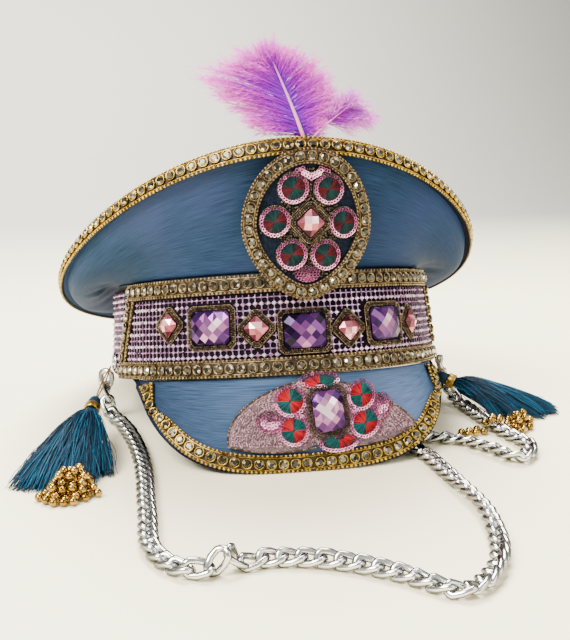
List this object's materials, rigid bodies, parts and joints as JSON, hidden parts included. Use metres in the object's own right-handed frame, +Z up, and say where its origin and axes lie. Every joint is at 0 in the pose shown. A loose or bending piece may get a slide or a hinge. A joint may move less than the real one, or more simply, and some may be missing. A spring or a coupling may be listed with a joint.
{
  "type": "decorated captain hat",
  "caption": "Blue satin captain hat with a rhinestone band, jewelled badge and peak motif, silver chain, teal tassels and a purple feather, resting on a table.",
  "frame": {"origin": "Middle of the footprint of the hat with its chain and tassels, on the table plane", "axes": "-Y is the front with the peak, +X is the viewer's right, +Z is up from the table"},
  "size_m": [0.2864, 0.3644, 0.1951],
  "materials": {
    "blue_satin": "satin sheen",
    "peak_satin": "satin sheen",
    "buckram": "matt",
    "crystal_net": "sparkling",
    "gold_trim": "polished with clear stones",
    "bronze_beads": "darkened",
    "pink_stone": "faceted",
    "purple_stone": "faceted",
    "navy_felt": "matt",
    "embroidery": "stitched",
    "sequins": "glossy",
    "bullion": "metallic thread",
    "silver_chain": "polished",
    "teal_silk": "silky",
    "gold_beads": "polished",
    "purple_plume": "soft",
    "pink_plume": "soft"
  },
  "bodies": {
    "root": {"band": "buckram", "band_mesh": "crystal_net", "band_frame": "gold_trim", "gem_pink_1": "pink_stone", "gem_pink_2": "pink_stone", "gem_pink_3": "pink_stone", "gem_pink_4": "pink_stone", "gem_purple_1": "purple_stone", "gem_purple_2": "purple_stone", "gem_purple_3": "purple_stone", "border_pink_1": "bronze_beads", "border_pink_2": "bronze_beads", "border_pink_3": "bronze_beads", "border_pink_4": "bronze_beads", "border_purple_1": "bronze_beads", "border_purple_2": "bronze_beads", "border_purple_3": "bronze_beads", "crown_side": "blue_satin", "crown_top": "blue_satin", "crown_edge_trim": "gold_trim", "medallion_base": "navy_felt", "medallion_trim": "gold_trim", "medallion_gem": "pink_stone", "medallion_gem_border": "bronze_beads", "floret_1": "embroidery", "floret_2": "embroidery", "floret_3": "embroidery", "floret_4": "embroidery", "floret_5": "embroidery", "floret_6": "embroidery", "medallion_crest": "sequins", "medallion_foot": "sequins", "peak": "peak_satin", "peak_trim": "gold_trim", "peak_wing_left": "bullion", "peak_wing_right": "bullion", "peak_gem": "purple_stone", "peak_gem_border": "bronze_beads", "peak_petal_1": "embroidery", "peak_petal_2": "embroidery", "peak_petal_3": "embroidery", "peak_petal_4": "embroidery", "peak_petal_5": "embroidery", "peak_petal_6": "embroidery", "chain": "silver_chain", "chain_ring_left": "silver_chain", "chain_ring_right": "silver_chain", "tassel_left": "teal_silk", "tassel_left_collar": "gold_trim", "tassel_left_beads": "gold_beads", "tassel_right": "teal_silk", "tassel_right_collar": "gold_trim", "tassel_right_beads": "gold_beads", "feather_large": "purple_plume", "feather_small": "pink_plume"}
  },
  "joints": []
}
